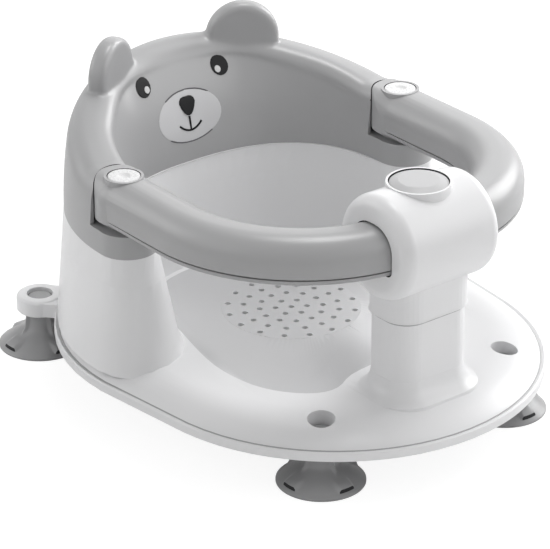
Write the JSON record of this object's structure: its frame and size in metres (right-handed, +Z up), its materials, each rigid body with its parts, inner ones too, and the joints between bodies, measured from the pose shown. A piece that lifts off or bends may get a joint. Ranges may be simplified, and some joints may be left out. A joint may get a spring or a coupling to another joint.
{
  "type": "baby bath seat",
  "caption": "Bath seat for a baby with an animal-shaped backrest, swing-out arms, a push-button catch on a front post and suction cup feet.",
  "frame": {"origin": "on the floor plane under the suction cups, at the middle of the seat's width and length", "axes": "+Z up, -Y towards the front post, +X to the right of a person who looks at the front from behind the seat"},
  "size_m": [0.305, 0.3679, 0.225],
  "materials": {
    "white_shell": "satin-smooth moulded white",
    "white_cap": "smooth white",
    "grey_plastic": "fine matt grey",
    "dark_grey_plastic": "fine matt grey, a little darker",
    "muzzle_inlay": "pale grey print",
    "dark_inlay": "near-black print",
    "white_inlay": "white print",
    "pin_steel": "turned steel",
    "screw_steel": "zinc-plated steel",
    "button_plastic": "pale grey with a raised middle",
    "inner_plastic": "plain moulded",
    "spring_steel": "wire",
    "cup_rubber": "soft translucent grey"
  },
  "bodies": {
    "base": {"base_shell": "white_shell", "head_housing": "white_shell", "bear_backrest": "grey_plastic", "muzzle": "muzzle_inlay", "nose": "dark_inlay", "mouth": "dark_inlay", "left_eye": "dark_inlay", "right_eye": "dark_inlay", "left_eye_glint": "white_inlay", "right_eye_glint": "white_inlay", "left_hinge_pin": "pin_steel", "right_hinge_pin": "pin_steel", "left_hinge_screw": "screw_steel", "right_hinge_screw": "screw_steel", "button_spring": "spring_steel", "front_left_cup": "cup_rubber", "front_right_cup": "cup_rubber", "rear_left_cup": "cup_rubber", "rear_right_cup": "cup_rubber", "backrest_screws": "screw_steel", "head_screws": "screw_steel"},
    "left_arm": {"left_arm": "grey_plastic", "left_arm_cover": "dark_grey_plastic", "left_hinge_cap": "white_cap"},
    "right_arm": {"right_arm": "grey_plastic", "right_arm_cover": "dark_grey_plastic", "right_hinge_cap": "white_cap"},
    "button": {"release_button": "button_plastic", "catch_bar": "inner_plastic"}
  },
  "joints": [
    {"name": "left_arm_swing", "type": "hinge", "parent": "base", "child": "left_arm", "pos_m": [-0.1205, 0.035, 0.15], "axis": [0, 0, -1], "range_deg": [0, 55]},
    {"name": "right_arm_swing", "type": "hinge", "parent": "base", "child": "right_arm", "pos_m": [0.1205, 0.035, 0.15], "axis": [0, 0, 1], "range_deg": [0, 55]},
    {"name": "button_press", "type": "slide", "parent": "base", "child": "button", "axis": [0, 0, -1], "range_m": [0, 0.004], "stiffness_N_per_m": 600, "springref_m": -0.004, "deforming": ["button_spring"]}
  ]
}
